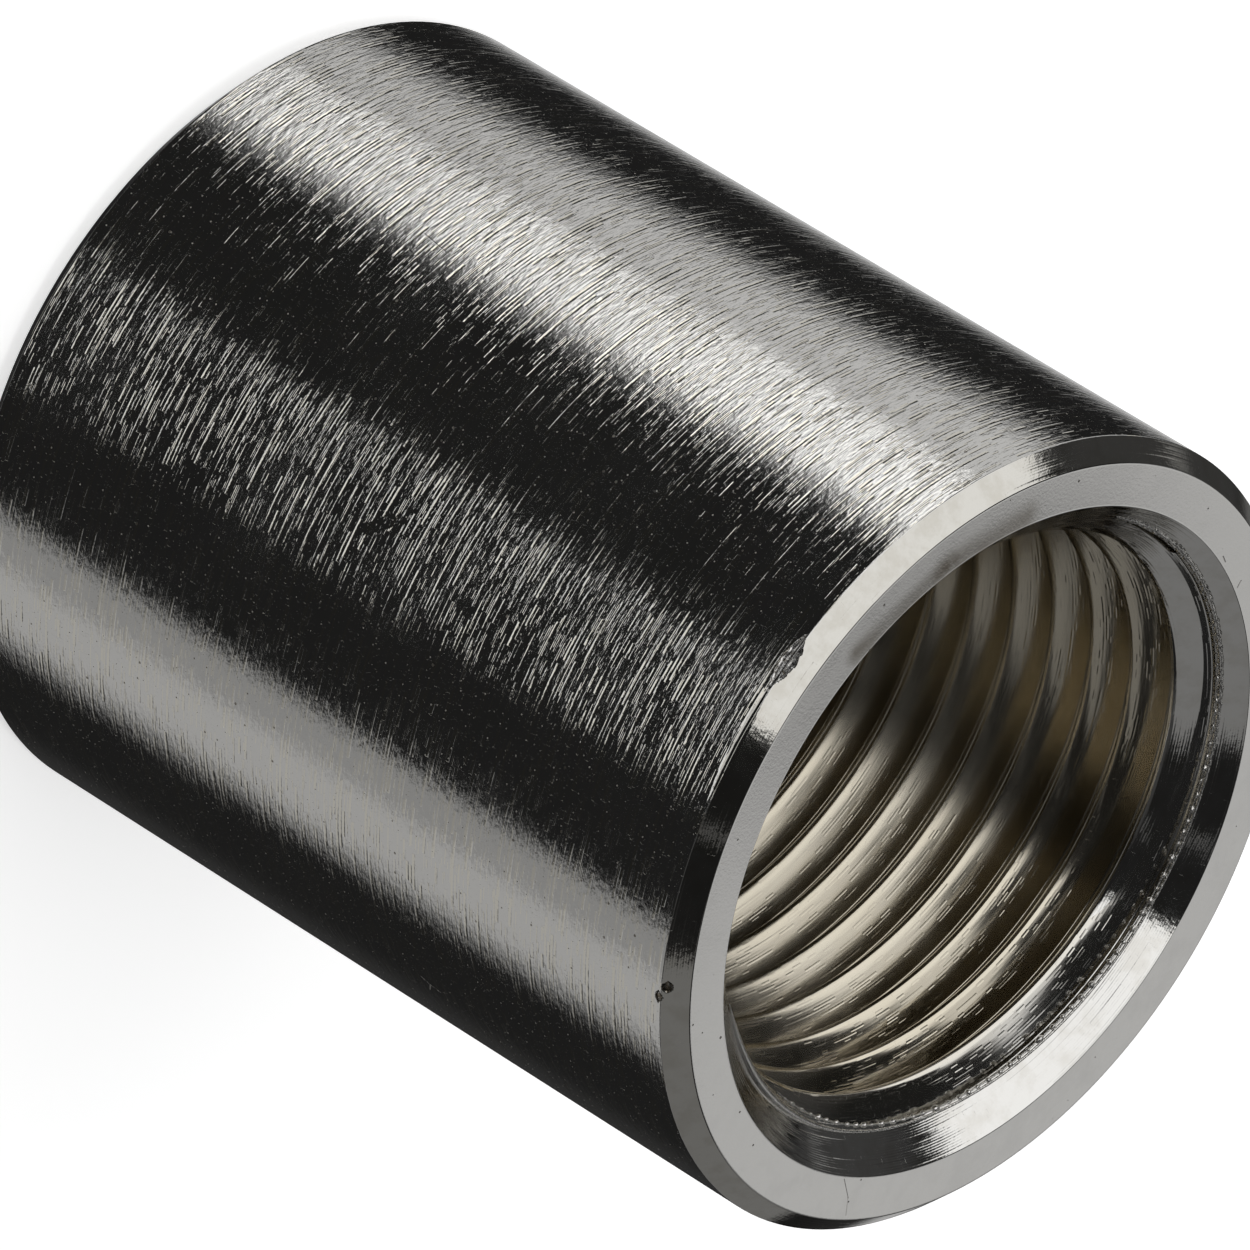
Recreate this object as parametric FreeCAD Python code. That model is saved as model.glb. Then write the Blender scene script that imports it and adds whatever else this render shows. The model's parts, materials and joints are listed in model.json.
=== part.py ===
"""Pipe socket: a short round sleeve, turned from one bar, that joins two pipes end to end.

Millimetres. The sleeve stands on one end face: the origin is the centre of that face and
+Z runs up the bore. Both ends are alike.
"""
import FreeCAD, Part
import os
from math import radians, tan

# Driving dimensions of the turned sleeve
OUTER_DIAMETER = 21.0
LENGTH = 25.0
EDGE_CHAMFER = 0.5

# Driving dimensions of the parallel pipe thread, size 3/8
THREAD_MAJOR_DIAMETER = 16.662
THREAD_DEPTH = 0.856

# Driving dimensions of the countersink that leads a pipe into each end of the thread
COUNTERSINK_DIAMETER = 17.7
COUNTERSINK_ANGLE = 90.0

# The tapped bore is modelled at the crests of its thread
BORE_DIAMETER = THREAD_MAJOR_DIAMETER - 2 * THREAD_DEPTH
COUNTERSINK_DEPTH = (COUNTERSINK_DIAMETER - BORE_DIAMETER) / 2 / tan(radians(COUNTERSINK_ANGLE / 2))


def half_section():
    """The wall's outline to one side of the axis, as a closed face in the XZ plane."""
    outer = OUTER_DIAMETER / 2
    bore = BORE_DIAMETER / 2
    mouth = COUNTERSINK_DIAMETER / 2
    corners = [
        (mouth, 0),
        (outer - EDGE_CHAMFER, 0),
        (outer, EDGE_CHAMFER),
        (outer, LENGTH - EDGE_CHAMFER),
        (outer - EDGE_CHAMFER, LENGTH),
        (mouth, LENGTH),
        (bore, LENGTH - COUNTERSINK_DEPTH),
        (bore, COUNTERSINK_DEPTH),
    ]
    points = [FreeCAD.Vector(radius, 0, height) for radius, height in corners]
    return Part.Face(Part.makePolygon(points + points[:1]))


def socket_body():
    """The whole socket: its half section turned once about the bore's axis."""
    axis_point = FreeCAD.Vector(0, 0, 0)
    axis = FreeCAD.Vector(0, 0, 1)
    return half_section().revolve(axis_point, axis, 360)


os.makedirs("parts", exist_ok=True)
socket_body().exportStep("parts/socket_body.step")
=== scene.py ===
import json
from collections import namedtuple
from functools import reduce
from math import atan2, cos, pi, radians, sin, sqrt, tan
import bpy
import numpy as np
from mathutils import Matrix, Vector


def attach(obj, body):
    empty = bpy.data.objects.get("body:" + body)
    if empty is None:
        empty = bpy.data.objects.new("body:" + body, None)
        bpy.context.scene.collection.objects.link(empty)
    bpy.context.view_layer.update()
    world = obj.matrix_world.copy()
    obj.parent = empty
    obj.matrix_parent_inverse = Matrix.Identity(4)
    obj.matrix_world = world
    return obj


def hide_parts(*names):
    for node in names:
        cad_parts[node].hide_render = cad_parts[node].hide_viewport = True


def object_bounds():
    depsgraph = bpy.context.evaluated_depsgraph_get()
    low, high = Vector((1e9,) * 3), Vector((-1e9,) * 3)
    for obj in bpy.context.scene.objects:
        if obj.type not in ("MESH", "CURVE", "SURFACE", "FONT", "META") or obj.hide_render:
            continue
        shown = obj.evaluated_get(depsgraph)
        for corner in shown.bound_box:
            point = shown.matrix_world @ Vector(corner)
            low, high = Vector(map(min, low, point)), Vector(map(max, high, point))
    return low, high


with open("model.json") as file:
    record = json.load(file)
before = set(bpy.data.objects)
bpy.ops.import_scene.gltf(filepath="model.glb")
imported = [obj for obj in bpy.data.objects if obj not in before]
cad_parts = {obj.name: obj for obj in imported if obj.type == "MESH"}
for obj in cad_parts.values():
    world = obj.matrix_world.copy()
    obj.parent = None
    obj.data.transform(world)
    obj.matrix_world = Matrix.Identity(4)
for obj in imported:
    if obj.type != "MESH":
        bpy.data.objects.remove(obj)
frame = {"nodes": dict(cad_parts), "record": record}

CAD_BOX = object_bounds()

bl_info = {
    "name": "Pipe socket",
    "version": (1, 0, 0),
    "blender": (4, 5, 0),
    "location": "3D View > Sidebar > Pipe socket",
    "description": "Dresses a turned and tapped pipe socket in bright nickel plating",
    "category": "Object",
}

# Names of the solid and the body that carries it
NODE = "socket_body"
BODY = "root"

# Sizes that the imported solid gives, in metres
MM = 0.001
MOUNTS = {mount["name"]: mount for mount in frame["record"]["mounts"]}
LENGTH = CAD_BOX[1][2] - CAD_BOX[0][2]
OUTER_RADIUS = (CAD_BOX[1][0] - CAD_BOX[0][0]) / 2
CREST_RADIUS = MOUNTS["upper_thread"]["dims"]["r_mm"] * MM
SINK_DEPTH = (LENGTH - MOUNTS["upper_thread"]["dims"]["length_mm"] * MM) / 2
MOUTH_RADIUS = CREST_RADIUS + SINK_DEPTH

# Lengths in metres: one too small to see, one within which two places count as the same, and one that keeps a
# division sound
HAIR = 0.01 * MM
NEAR = 0.02 * MM
TINY = 1e-9

# Turn of the wall's outline from side to chamfer, chamfer to face, and face to countersink
BEND = radians(45)

# Zones of the socket's surface, in the order of its materials
SIDE, TURNED, TAPPED, FACE, BITTEN, CHIPPED = range(6)


def face_radius():
    """The largest radius on the solid's upper end face, where its edge chamfer begins."""
    points = np.array([vertex.co for vertex in frame["nodes"][NODE].data.vertices])
    top = points[points[:, 2] > LENGTH - HAIR]
    return float(np.hypot(top[:, 0], top[:, 1]).max())


def length_prop(name, description, default):
    """A length property in metres."""
    return bpy.props.FloatProperty(name=name, description=description, default=default, min=0,
                                   unit="LENGTH", precision=6)


def colour_prop(name, description, default):
    """A colour property."""
    return bpy.props.FloatVectorProperty(name=name, description=description, default=default, size=3,
                                         min=0, max=1, subtype="COLOR")


class SocketSizes(bpy.types.PropertyGroup):
    """Sizes of the thread and of the fine edges."""

    thread_pitch: length_prop("Thread pitch", "Axial distance from one crest to the next", 1.337 * MM)
    thread_depth: length_prop("Thread depth", "Radial distance from crest to root", 0.856 * MM)
    thread_start: length_prop("Thread start", "Height of a crest at the azimuth of the X axis", 0.4 * MM)
    crest_blend: length_prop("Crest blend", "How far the crest's rounding runs into the flanks", 0.18 * MM)
    root_round: length_prop("Root round", "Radius at the bottom of the thread", 0.1 * MM)
    edge_chamfer: length_prop("Edge chamfer", "Width of the chamfer round each outer edge, on each side",
                              OUTER_RADIUS - face_radius())
    edge_round: length_prop("Edge round", "Radius that polishing leaves on the outer edges", 0.05 * MM)
    face_dish: length_prop("Face dish", "How far each end face falls away towards the mouth", 0.03 * MM)
    crest_wear: length_prop("Crest wear", "Spread of the worn edge where a countersink meets the crests",
                            0.2 * MM)
    mouth_round: length_prop("Mouth round", "Radius of the edge between face and countersink", 0.03 * MM)
    burr_bead: length_prop("Burr bead", "Spacing of the beads of burr round each mouth", 0.33 * MM)


class SocketFinish(bpy.types.PropertyGroup):
    """Colours of the plating."""

    nickel: colour_prop("Nickel", "Colour of the bright plating outside", (0.75, 0.74, 0.715))
    edge_nickel: colour_prop("Edge nickel", "Colour of the duller plating on the chamfers",
                             (0.61, 0.595, 0.555))
    # Used deeper in the bore: darker and browner than the outside nickel
    bore_nickel: colour_prop("Bore nickel", "Colour of the thinner, warmer plating in the thread",
                             (0.67, 0.62, 0.515))
    # Painted glint tint: deep scratches get this warm colour in place of a warmer light on their glints
    scratch_glint_tint: colour_prop("Scratch", "Colour of the warm metal that shows in the scratches", (0.8, 0.77, 0.69))
    dust: colour_prop("Dust", "Colour of the specks of dust", (0.5, 0.47, 0.42))
    # Lighter than the nickel: partly raw burr, partly a painted sheen that keeps the burr bright from any
    # side
    burr: colour_prop("Burr", "Colour of the raw burr round the mouths", (0.9, 0.88, 0.84))
    grime: colour_prop("Grime", "Colour of the dirt in pits and marks", (0.2, 0.17, 0.13))


class StudioSettings(bpy.types.PropertyGroup):
    """Floor and light of the stage."""

    floor_colour: colour_prop("Floor", "Colour of the plain floor", (0.9, 0.9, 0.9))
    gloom: bpy.props.FloatProperty(name="Gloom", description="Brightness of the studio between its panels",
                                   default=0.014, min=0)


class Wire:
    """A socket of a shader tree. Arithmetic on it adds Math nodes, and node() adds any other node."""

    def __init__(self, tree, socket):
        self.tree = tree
        self.socket = socket

    @classmethod
    def node(cls, tree, kind, settings=None, sockets=None, output=0):
        """Adds a node of this kind: sets its settings, fills or links its sockets, gives one output."""
        made = tree.nodes.new(kind)
        for name, value in (settings or {}).items():
            setattr(made, name, value)
        for name, value in (sockets or {}).items():
            if isinstance(value, Wire):
                tree.links.new(value.socket, made.inputs[name])
            else:
                made.inputs[name].default_value = value
        return cls(tree, made.outputs[output] if made.outputs else None)

    def math(self, operation, *values):
        """One Math node on these values, in the order given."""
        return Wire.node(self.tree, "ShaderNodeMath", {"operation": operation}, dict(enumerate(values)))

    def vector_math(self, operation, other, output=0):
        """One Vector Math node on this vector or colour and another one."""
        sockets = {0: self, 1: other}
        return Wire.node(self.tree, "ShaderNodeVectorMath", {"operation": operation}, sockets, output)

    def __add__(self, other):
        return self.math("ADD", self, other)

    def __sub__(self, other):
        return self.math("SUBTRACT", self, other)

    def __rsub__(self, other):
        return self.math("SUBTRACT", other, self)

    def __mul__(self, other):
        return self.math("MULTIPLY", self, other)

    def __truediv__(self, other):
        return self.math("DIVIDE", self, other)

    def __pow__(self, other):
        return self.math("POWER", self, other)

    __radd__ = __add__
    __rmul__ = __mul__

    def floor(self):
        """The whole number at or below this value."""
        return self.math("FLOOR", self)

    def fract(self):
        """What this value has above that whole number."""
        return self.math("FRACT", self)

    def size(self):
        """This value without its sign."""
        return self.math("ABSOLUTE", self)

    def above(self, other):
        """The larger of two values."""
        return self.math("MAXIMUM", self, other)

    def ramp(self, start, end, low=0.0, high=1.0):
        """A smooth step of this value, from low at start to high at end."""
        sockets = {"Value": self, "From Min": start, "From Max": end, "To Min": low, "To Max": high}
        return Wire.node(self.tree, "ShaderNodeMapRange", {"interpolation_type": "SMOOTHSTEP"}, sockets)

    def blend(self, first, second):
        """A colour between two others, by this value."""
        ends = [end if isinstance(end, Wire) else (*end, 1) for end in (first, second)]
        sockets = {0: self, 6: ends[0], 7: ends[1]}
        return Wire.node(self.tree, "ShaderNodeMix", {"data_type": "RGBA"}, sockets, 2)


# First guess of the flank's lean at the root's arc, in degrees, and the rounds that settle it
FLANK_LEAN = 62
FLANK_ROUNDS = 12


def flank_fit(sizes):
    """Steepness of the flank's curve, and the distance from the crest at which the root's arc takes over.

    The curve must reach the arc with the arc's own depth and slope. Each round works out the steepness that
    gives the depth there, then the slope, which moves the meeting point.
    """
    lean = radians(FLANK_LEAN)
    for _ in range(FLANK_ROUNDS):
        joint = sizes.thread_pitch / 2 - sizes.root_round * sin(lean)
        depth = sizes.thread_depth - sizes.root_round * (1 - cos(lean)) + sizes.crest_blend
        steepness = sqrt(depth ** 2 - sizes.crest_blend ** 2) / joint
        lean = atan2(steepness ** 2 * joint, depth)
    return steepness, joint


def groove_form(height, azimuth, sizes):
    """Radius of the thread as the tap cuts it, and how fast the radius grows with height.

    The crest climbs one pitch a turn, right-handed. At the axial distance t from the nearest crest the
    thread is as deep as a hyperbola in t, which is round at the crest and turns into a straight flank.
    Near the root an arc takes over.
    """
    pitch = sizes.thread_pitch
    steepness, joint = flank_fit(sizes)
    turns = (height - sizes.thread_start) / pitch - azimuth / (2 * pi)
    offset = ((turns + 0.5) % 1 - 0.5) * pitch
    t = np.abs(offset)
    reach = np.hypot(sizes.crest_blend, steepness * t)
    from_root = np.clip(pitch / 2 - t, 0, sizes.root_round)
    arc = np.sqrt(sizes.root_round ** 2 - from_root ** 2)
    near_crest = t < joint
    depth = np.where(near_crest, reach - sizes.crest_blend, sizes.thread_depth - sizes.root_round + arc)
    slope = np.where(near_crest, steepness ** 2 * t / reach, from_root / np.maximum(arc, TINY))
    return CREST_RADIUS + depth, slope * np.sign(offset)


# Azimuths in degrees are counted from the camera's side towards X
CAMERA_SIDE = -90

# Course of the burr on the upper countersink: azimuth in degrees, then in mm the depths of its lip and of its
# beads below the mouth, and half the lip's width
BURR_COURSE = ((58, 1.24, 1.3, 0.03), (66, 1.1, 1.3, 0.09), (76, 0.97, 1.25, 0.13), (90, 0.91, 1.12, 0.1),
               (100, 0.86, 1.02, 0.06), (110, 0.82, 0.93, 0.04), (135, 0.76, 0.82, 0.036),
               (150, 0.71, 0.77, 0.036), (180, 0.62, 0.68, 0.036), (210, 0.55, 0.61, 0.05),
               (240, 0.49, 0.55, 0.08), (265, 0.46, 0.52, 0.08), (284, 0.45, 0.5, 0.08))
LIP, BEADS, LIP_WIDTH = 1, 2, 3

# Steps along the course, and how many of them are averaged to smooth it
COURSE_STEPS = 437
COURSE_WINDOW = 33


def burr_course(part):
    """Azimuths along the upper burr, and one of the lengths in its course, smooth from place to place."""
    places = np.array(BURR_COURSE)
    degrees = np.linspace(places[0, 0], places[-1, 0], COURSE_STEPS)
    window = np.hanning(COURSE_WINDOW)
    padded = np.pad(np.interp(degrees, places[:, 0], places[:, part]), len(window) // 2, mode="reflect",
                    reflect_type="odd")
    smooth = np.convolve(padded, window / window.sum(), mode="valid")
    return np.radians(degrees + CAMERA_SIDE), smooth * MM


def end_over_end(azimuth, sizes):
    """Azimuths after the socket is turned end over end about the line that leaves its thread as it is."""
    return 2 * pi * ((LENGTH - 2 * sizes.thread_start) / sizes.thread_pitch % 1) - azimuth


def smooth_step(value, start, end):
    """A smooth step from 0 to 1 as the value goes from start to end: a cubic that is level at both."""
    share = np.clip((value - start) / (end - start), 0, 1)
    return share * share * (3 - 2 * share)


def mouth_depth(height):
    """Depth of a height below the nearer mouth."""
    return np.minimum(height, LENGTH - height)


def burr_sides(height, azimuth, sizes):
    """Where places in the bore lie about the burr of each end.

    For each end: how far they are below the burr's beads, past its start and before its end. In the other
    half of the socket the way past its start is below zero.
    """
    course, depth = burr_course(BEADS)
    middle = course.mean()
    for below, around in ((LENGTH - height, azimuth), (height, end_over_end(azimuth, sizes))):
        place = middle + (around - middle + pi) % (2 * pi) - pi
        past = np.where(below < LENGTH / 2, place - course[0], -pi)
        yield below - np.interp(place, course, depth), past, course[-1] - place


def thread_form(height, azimuth, sizes):
    """Radius of the thread at heights and azimuths, and how fast it grows with height.

    It is the groove as cut, but above the beads of a burr the metal was left standing.
    """
    radius, slope = groove_form(height, azimuth, sizes)
    for below, past, before in burr_sides(height, azimuth, sizes):
        radius = np.where((below < 0) & (past > 0) & (before > 0), CREST_RADIUS, radius)
    return radius, slope


# How far the mouths are worn wider, and how fast a countersink's radius falls with depth
MOUTH_WEAR = 0.035 * MM
CONE_SLOPE = 1.03

# How far the tap scraped the countersinks wider below the late part of a burr, and where that sets in:
# azimuths past the burr's start and before its end, and depths below its beads
SCRAPE = 0.15 * MM
SCRAPE_PAST = (radians(88), radians(128))
SCRAPE_BEFORE = (radians(-6), radians(14))
SCRAPE_BELOW = (0.14 * MM, 0.34 * MM)

# Shares of the countersink's depth between which the wear of the crests sets in
CREST_WEAR_SPAN = (0.66, 0.92)

# Where the plating begins to lie flatter on the flanks, the length over which it does, and by what share
EASE_START = 1.6 * MM
EASE_LENGTH = 6 * MM
EASE_SHARE = 0.2


def cone_radius(height):
    """Radius of the countersinks as turned: the mouth's, less the slope times the depth."""
    return MOUTH_RADIUS + MOUTH_WEAR - CONE_SLOPE * mouth_depth(height)


def countersink_radius(height, azimuth, sizes):
    """Radius of the countersinks: the cone, scraped wider by the tap below the late part of each burr."""
    radius = cone_radius(height)
    for below, past, before in burr_sides(height, azimuth, sizes):
        late = smooth_step(past, *SCRAPE_PAST) * smooth_step(before, *SCRAPE_BEFORE)
        radius = radius + SCRAPE * late * smooth_step(below, *SCRAPE_BELOW)
    return radius


def thread_past_cone(height, azimuth, sizes):
    """How much wider the thread is than the countersinks. Above zero the surface is the thread's."""
    return thread_form(height, azimuth, sizes)[0] - countersink_radius(height, azimuth, sizes)


def crest_wear(height):
    """How far the edge between countersink and thread is worn: 0 near the mouths, 1 at the cone's foot."""
    return smooth_step(mouth_depth(height) / SINK_DEPTH, *CREST_WEAR_SPAN)


def flank_ease(height):
    """Factor for the slope that the plating has on the flanks: 1 at the mouths, less deep in the bore."""
    share = np.clip((mouth_depth(height) - EASE_START) / EASE_LENGTH, 0, 1)
    return 1 - EASE_SHARE * share * (2 - share)


def mouth_edge(sizes):
    """The round edge of a mouth: its setback from the sharp corner, the corner's radius, its lower depth."""
    setback = sizes.mouth_round * tan(BEND / 2)
    corner = MOUTH_RADIUS + MOUTH_WEAR - sizes.face_dish
    return setback, corner, sizes.face_dish + setback * cos(BEND)


def ring_points(radius, height, azimuth):
    """Points at these radii, heights and azimuths, as an array of coordinates."""
    radius, height, azimuth = np.broadcast_arrays(radius, height, azimuth)
    return np.stack([radius * np.cos(azimuth), radius * np.sin(azimuth), height], axis=-1)


def unit(vectors):
    """Vectors of length one."""
    return vectors / np.linalg.norm(vectors, axis=-1, keepdims=True)


# Knocks in the upper outer edge: azimuth and half the spread in degrees, then in mm how far the middle lies
# above the edge, half the height and the depth, and the zone that the knock gets
KNOCKS = {
    "bite": (-6.4, 4.3, -0.05, 0.19, 0.07, BITTEN),
    "burnish": (5.5, 9.5, -0.07, 0.12, 0.02, TURNED),
    "upper_chip": (41.0, 1.0, 0.1, 0.11, 0.05, CHIPPED),
    "lower_chip": (42.7, 1.0, -0.07, 0.11, 0.05, CHIPPED),
}

# How far a knock pushes the edge inwards and downwards, as shares of its depth
KNOCK_IN = 0.9
KNOCK_DOWN = 0.4

# Columns of the mesh: their step in degrees, how many stand close at a knock, and over how much of its spread
COLUMN_STEP = 2
KNOCK_COLUMNS = 20
KNOCK_REACH = 1.1

# Rows of the mesh along each chamfer and the side next to it, at the knocked upper edge and at the lower one
UPPER_ROWS = 18
LOWER_ROWS = 3

# Shares of the side, the chamfer and the face at which the mesh has rows, and rows in the arcs of its edges
SIDE_SHARES = (0, 0.5, 0.9)
EDGE_SPAN = (0.965, 0.998)
CHAMFER_SPAN = (0.08, 0.92)
FACE_SHARES = (0.03, 0.5, 0.97)
EDGE_ROWS = 5
MOUTH_ROWS = 6


def column_azimuths():
    """Azimuths of the mesh's columns: even steps, with close ones at the knocks."""
    close = [np.linspace(place - KNOCK_REACH * spread, place + KNOCK_REACH * spread, KNOCK_COLUMNS)
             for place, spread, *_ in KNOCKS.values()]
    degrees = np.unique(np.concatenate([np.arange(-180, 180, COLUMN_STEP), *close]).round(3))
    return np.radians(np.append(degrees, 180) + CAMERA_SIDE)


def arc_points(centre, radius, start, end, count):
    """Points (radius, height) of an arc in the wall's section and its directions, angles in degrees."""
    angle = np.radians(np.linspace(start, end, count))
    direction = np.stack([np.cos(angle), np.sin(angle)], axis=1)
    return np.array(centre) + radius * direction, direction


def line_points(start, end, shares):
    """Points along a line in the wall's section, and the direction square to it on the outer side."""
    start, end = np.array(start), np.array(end)
    across = (end - start) @ np.array([[0, -1], [1, 0]])
    points = start + (end - start) * np.array(shares)[:, None]
    return points, np.broadcast_to(unit(across), points.shape)


def upper_section(sizes, rows):
    """Upper half of the wall's outline as points (radius, height) and outward directions.

    From the middle of the side: the side, an arc, the chamfer, an arc, a line across the dished face, and
    an arc into the countersink.
    """
    chamfer = sizes.edge_chamfer
    bend = sizes.edge_round
    setback = bend * tan(BEND / 2)
    top = LENGTH - chamfer - setback
    rim = OUTER_RADIUS - chamfer - setback
    mouth_setback, corner, _ = mouth_edge(sizes)
    inner = (corner + mouth_setback, LENGTH - sizes.face_dish)
    side = line_points((OUTER_RADIUS, LENGTH / 2), (OUTER_RADIUS, top),
                       np.concatenate([SIDE_SHARES, np.linspace(*EDGE_SPAN, rows)]))
    low_edge = arc_points((OUTER_RADIUS - bend, top), bend, 0, 45, EDGE_ROWS)
    slope = line_points((OUTER_RADIUS, LENGTH - chamfer), (OUTER_RADIUS - chamfer, LENGTH),
                        np.linspace(*CHAMFER_SPAN, rows))
    high_edge = arc_points((rim, LENGTH - bend), bend, 45, 90, EDGE_ROWS)
    face = line_points((rim, LENGTH), inner, FACE_SHARES)
    mouth = arc_points((inner[0], inner[1] - sizes.mouth_round), sizes.mouth_round, 90, 135, MOUTH_ROWS)
    pieces = (side, low_edge, slope, high_edge, face, mouth)
    return np.concatenate([piece[0] for piece in pieces]), np.concatenate([piece[1] for piece in pieces])


def wrapped(degrees):
    """An angle brought between -180 and 180 degrees."""
    return (degrees + 180) % 360 - 180


def knock_depth(azimuth, height, sizes, names=KNOCKS):
    """Depth of the knocks in the upper outer edge: lenses with pointed ends, deepest along their middle line.

    A lens is where a parabola in azimuth, less the distance from the middle line, is above zero. Two
    crossing waves make its outline uneven.
    """
    degrees = wrapped(np.degrees(azimuth) - CAMERA_SIDE)
    above = (height - (LENGTH - sizes.edge_chamfer)) / MM
    depth = np.zeros(np.broadcast(degrees, above).shape)
    for name in names:
        place, spread, middle, tall, deep, _ = KNOCKS[name]
        along = (degrees - place) / spread
        off = np.abs(above - middle) / tall
        wobble = 0.05 * np.sin(13 * along + 2 * off) + 0.03 * np.sin(29 * along + 1)
        lens = np.clip(1 - along ** 2 - off + wobble * (1 - along ** 2), 0, 1)
        depth = depth + deep * lens * (2 - lens)
    return depth * MM


def outer_grid(azimuth, sizes):
    """Points and directions of the outside, a row for each azimuth, from the lower mouth to the upper one."""
    upper, upper_out = upper_section(sizes, UPPER_ROWS)
    lower, lower_out = upper_section(sizes, LOWER_ROWS)
    section = np.concatenate([lower[:0:-1] * [1, -1] + [0, LENGTH], upper])
    out = np.concatenate([lower_out[:0:-1] * [1, -1], upper_out])
    around = azimuth[:, None]
    depth = knock_depth(around, section[:, 1], sizes) * (section[:, 0] > OUTER_RADIUS - sizes.edge_chamfer)
    points = ring_points(section[:, 0] - KNOCK_IN * depth, section[:, 1] - KNOCK_DOWN * depth, around)
    normals = ring_points(out[:, 0], np.broadcast_to(out[:, 1], depth.shape), around)
    across = np.gradient(points, axis=1)
    along = np.gradient(points, axis=0)
    worn = unit(np.cross(along, across))
    normals = np.where(depth[..., None] > 0, worn, normals)
    return points, normals


# Grid lines of the bore, as shares of the way from a crest to the root's arc
LINE_SHARES = (0, 0.1, 0.21, 0.36, 0.55, 0.77, 1)

# Turns of grid lines beyond each mouth, and how often the search for a cut halves its step
SPARE_TURNS = 3
HALVINGS = 30


def thread_lines(sizes):
    """Heights of the bore's grid lines at azimuth zero, ascending, and how many there are to a turn.

    Each turn has the same lines, closer at its crest and root, so that they run along the thread.
    """
    pitch = sizes.thread_pitch
    joint = flank_fit(sizes)[1]
    half = np.concatenate([joint * np.array(LINE_SHARES), [pitch / 2]])
    one_turn = np.concatenate([half[:-1], pitch - half[:0:-1]])
    turns = np.arange(-SPARE_TURNS, int(LENGTH / pitch) + SPARE_TURNS + 1)
    starts = turns[:, None] * pitch + sizes.thread_start
    return (starts + one_turn).ravel(), len(one_turn)


def bore_grid(azimuth, sizes):
    """Heights of the bore's grid, a row for each azimuth, marks for its cuts, and its lines to a turn.

    Every line climbs one pitch a turn and is clipped to the two mouths. Where the countersink's cut through
    the thread falls between two lines, the nearer line is moved onto it and marked.
    """
    lines, per_turn = thread_lines(sizes)
    around = azimuth[:, None]
    low_end = mouth_edge(sizes)[2]
    high_end = LENGTH - low_end
    height = lines + sizes.thread_pitch * around / (2 * pi)
    height = np.where(height < low_end + NEAR, low_end, height)
    height = np.where(height > high_end - NEAR, high_end, height)
    gap = thread_past_cone(height, around, sizes)
    crossing = (gap[:, :-1] * gap[:, 1:]) < 0
    low, high = height[:, :-1].copy(), height[:, 1:].copy()
    for _ in range(HALVINGS):
        middle = (low + high) / 2
        same = thread_past_cone(middle, around, sizes) * gap[:, :-1] > 0
        low = np.where(same, middle, low)
        high = np.where(same, high, middle)
    edge = np.where(low > LENGTH / 2, high, low)
    nearer_low = edge - height[:, :-1] < height[:, 1:] - edge
    cut = np.zeros(height.shape, bool)
    for part, moved in ((np.s_[:, :-1], crossing & nearer_low), (np.s_[:, 1:], crossing & ~nearer_low)):
        cut[part] |= moved
        height[part] = np.where(moved, edge, height[part])
    return height, cut, per_turn


def bore_triangles(cut):
    """Triangles of the bore's grid as grid indices. A cell that has two cuts is split from cut to cut."""
    index = np.arange(cut.size).reshape(cut.shape)
    a, b, c, d = index[:-1, :-1], index[:-1, 1:], index[1:, 1:], index[1:, :-1]
    other = (cut[:-1, 1:] & cut[1:, :-1])[..., None]
    first = np.where(other, np.stack([a, b, d], axis=-1), np.stack([a, b, c], axis=-1))
    second = np.where(other, np.stack([b, c, d], axis=-1), np.stack([a, c, d], axis=-1))
    return np.concatenate([first.reshape(-1, 3), second.reshape(-1, 3)])


def bore_surface(height, around, sizes):
    """Points of the bore's grid, normals on the thread, on the countersink and between the two, and wear.

    The radius is the larger of thread and countersink, rounded where they meet: half of their sum and of the
    hypotenuse over their difference and the wear. The thread's normal leans with its slope and its climb.
    """
    thread, slope = thread_form(height, around, sizes)
    slope = slope * flank_ease(height)
    sink = countersink_radius(height, around, sizes)
    worn = crest_wear(height)
    apart = np.hypot(thread - sink, sizes.crest_wear * worn)
    points = ring_points((thread + sink + apart) / 2, height, around)
    inwards = -np.ones_like(height)
    climb = -slope * sizes.thread_pitch / (2 * pi) / thread
    onwards = np.stack([-np.sin(around), np.cos(around), 0 * around], axis=-1)
    thread_out = unit(ring_points(inwards, slope, around) + climb[..., None] * onwards)
    sink_out = unit(ring_points(inwards, np.where(height > LENGTH / 2, 1.0, -1.0), around))
    share = ((1 + (thread - sink) / np.maximum(apart, TINY)) / 2)[..., None]
    soft_out = share * thread_out + (1 - share) * sink_out
    return points, thread_out, sink_out, soft_out, worn[..., None]


def outer_zones(middle, sizes):
    """Zones of the outside's faces from their middles: by radius, and the knock's own where one is deep."""
    radius = np.hypot(middle[:, 0], middle[:, 1])
    azimuth = np.arctan2(middle[:, 1], middle[:, 0])
    on_side = radius > OUTER_RADIUS * cos(radians(COLUMN_STEP / 2)) - NEAR
    on_end = radius < OUTER_RADIUS - sizes.edge_chamfer
    zones = np.where(on_side, SIDE, np.where(on_end, FACE, TURNED))
    for name, knock in KNOCKS.items():
        knocked = knock_depth(azimuth, middle[:, 2], sizes, [name]) > HAIR
        zones = np.where(knocked & ~on_end, knock[-1], zones)
    return zones


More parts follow.
